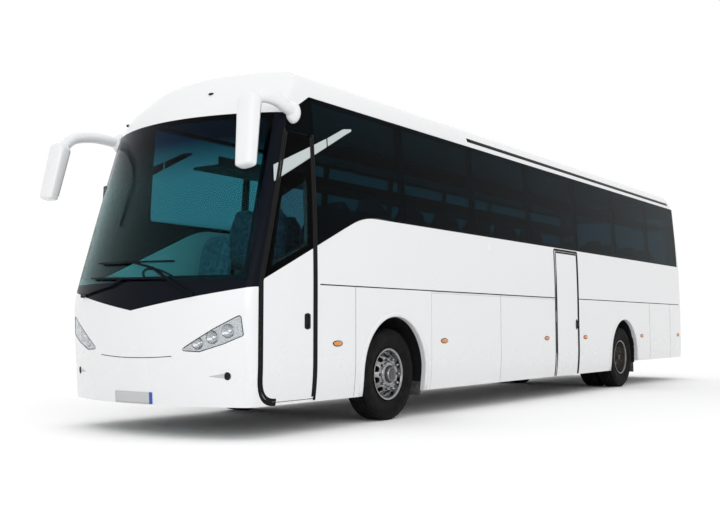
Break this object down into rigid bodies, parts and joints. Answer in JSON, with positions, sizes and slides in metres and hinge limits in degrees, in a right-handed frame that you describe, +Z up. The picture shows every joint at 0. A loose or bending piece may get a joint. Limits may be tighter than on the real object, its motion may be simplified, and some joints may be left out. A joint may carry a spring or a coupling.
{
  "type": "touring coach",
  "caption": "Single-deck touring coach with raked wraparound screen, swing-out entrance door, lifting luggage flaps, steered front wheels and twin rear wheels.",
  "frame": {"origin": "on the ground under the middle of the overall box", "axes": "+Z up, front faces -Y, +X is the coach's left side with the doors"},
  "size_m": [2.78, 13.1459, 3.7135],
  "materials": {
    "paint": "gloss white",
    "side_glass": "dark tinted",
    "screen_glass": "clear tinted",
    "mask": "gloss black",
    "lamp_body": "silver grey",
    "lamp_lens": "clear",
    "lamp_red": "red",
    "steel": "satin black",
    "casting": "rough",
    "floor": "matt",
    "fabric": "woven",
    "trim": "matt dark",
    "rim": "polished",
    "tyre": "matt",
    "rubber": "matt",
    "shell": "gloss white",
    "hatch": "gloss white",
    "leaf_paint": "gloss white paint"
  },
  "bodies": {
    "body": {"side_wall_left": "paint", "side_wall_right": "paint", "side_glass_left": "side_glass", "side_glass_right": "side_glass", "front_fascia": "paint", "headlamps": "lamp_body", "headlamp_lenses": "lamp_lens", "screen_frame": "mask", "windscreen": "screen_glass", "roof_cap": "paint", "roof": "paint", "rear_wall": "paint", "rear_window": "side_glass", "tail_lamps": "lamp_red", "entrance_steps": "floor", "middle_steps": "floor", "cabin_floor": "floor", "front_frame": "steel", "rear_frame": "steel", "front_bulkhead": "floor", "luggage_floor": "floor", "wheel_housings": "trim", "mud_flaps": "rubber", "front_axle": "casting", "rear_axle": "casting", "air_springs": "rubber", "engine_block": "casting", "seats": "fabric", "dashboard": "trim", "steering_wheel": "trim", "luggage_racks": "trim", "roof_hatches": "hatch", "mirrors": "shell", "wipers": "trim"},
    "knuckle_left": {"knuckle_left": "casting"},
    "knuckle_right": {"knuckle_right": "casting"},
    "front_wheel_left": {"front_tyre_left": "tyre", "front_rim_left": "rim"},
    "front_wheel_right": {"front_tyre_right": "tyre", "front_rim_right": "rim"},
    "rear_wheels_left": {"rear_tyres_left": "tyre", "rear_rims_left": "rim"},
    "rear_wheels_right": {"rear_tyres_right": "tyre", "rear_rims_right": "rim"},
    "flap_left_front": {"luggage_flap_left_front": "leaf_paint"},
    "flap_left_rear": {"luggage_flap_left_rear": "leaf_paint"},
    "flap_right_front": {"luggage_flap_right_front": "leaf_paint"},
    "flap_right_rear": {"luggage_flap_right_rear": "leaf_paint"},
    "middle_door": {"middle_door": "leaf_paint"},
    "engine_lid": {"engine_lid": "leaf_paint"},
    "front_door_arm": {"front_door_arm": "steel"},
    "front_door": {"front_door": "leaf_paint", "front_door_glass": "side_glass"}
  },
  "joints": [
    {"name": "steer_left", "type": "hinge", "parent": "body", "child": "knuckle_left", "pos_m": [0.93, -3.85, 0.508], "axis": [0, 0, 1], "range_deg": [-40, 40]},
    {"name": "steer_right", "type": "hinge", "parent": "body", "child": "knuckle_right", "pos_m": [-0.93, -3.85, 0.508], "axis": [0, 0, 1], "range_deg": [-40, 40]},
    {"name": "front_wheel_left_spin", "type": "hinge", "parent": "knuckle_left", "child": "front_wheel_left", "pos_m": [1.05, -3.85, 0.508], "axis": [1, 0, 0], "continuous": true},
    {"name": "front_wheel_right_spin", "type": "hinge", "parent": "knuckle_right", "child": "front_wheel_right", "pos_m": [-1.05, -3.85, 0.508], "axis": [1, 0, 0], "continuous": true},
    {"name": "rear_wheels_left_spin", "type": "hinge", "parent": "body", "child": "rear_wheels_left", "pos_m": [0.907, 3.25, 0.508], "axis": [1, 0, 0], "continuous": true},
    {"name": "rear_wheels_right_spin", "type": "hinge", "parent": "body", "child": "rear_wheels_right", "pos_m": [-0.907, 3.25, 0.508], "axis": [1, 0, 0], "continuous": true},
    {"name": "flap_left_front_hinge", "type": "hinge", "parent": "body", "child": "flap_left_front", "pos_m": [1.265, -2.2155, 1.44], "axis": [0, -1, 0], "range_deg": [0, 100]},
    {"name": "flap_left_rear_hinge", "type": "hinge", "parent": "body", "child": "flap_left_rear", "pos_m": [1.265, -0.4665, 1.44], "axis": [0, -1, 0], "range_deg": [0, 100]},
    {"name": "flap_right_front_hinge", "type": "hinge", "parent": "body", "child": "flap_right_front", "pos_m": [-1.265, -1.774, 1.44], "axis": [0, 1, 0], "range_deg": [0, 100]},
    {"name": "flap_right_rear_hinge", "type": "hinge", "parent": "body", "child": "flap_right_rear", "pos_m": [-1.265, 0.875, 1.44], "axis": [0, 1, 0], "range_deg": [0, 100]},
    {"name": "middle_door_hinge", "type": "hinge", "parent": "body", "child": "middle_door", "pos_m": [1.265, 0.4403, 1.2], "axis": [0, 0, -1], "range_deg": [0, 90]},
    {"name": "engine_lid_hinge", "type": "hinge", "parent": "body", "child": "engine_lid", "pos_m": [0, 6.546, 1.82], "axis": [1, 0, 0], "range_deg": [0, 85]},
    {"name": "front_door_arm_swing", "type": "hinge", "parent": "body", "child": "front_door_arm", "pos_m": [1.135, -5.95, 1.2], "axis": [0, 0, -1], "range_deg": [0, 130]},
    {"name": "front_door_swing", "type": "hinge", "parent": "front_door_arm", "child": "front_door", "pos_m": [1.135, -5.53, 1.2], "axis": [0, 0, -1], "range_deg": [-130, 0]}
  ],
  "couplings": [
    {"joint": "steer_right", "follows": "steer_left", "ratio": 1},
    {"joint": "front_door_swing", "follows": "front_door_arm_swing", "ratio": -1}
  ]
}
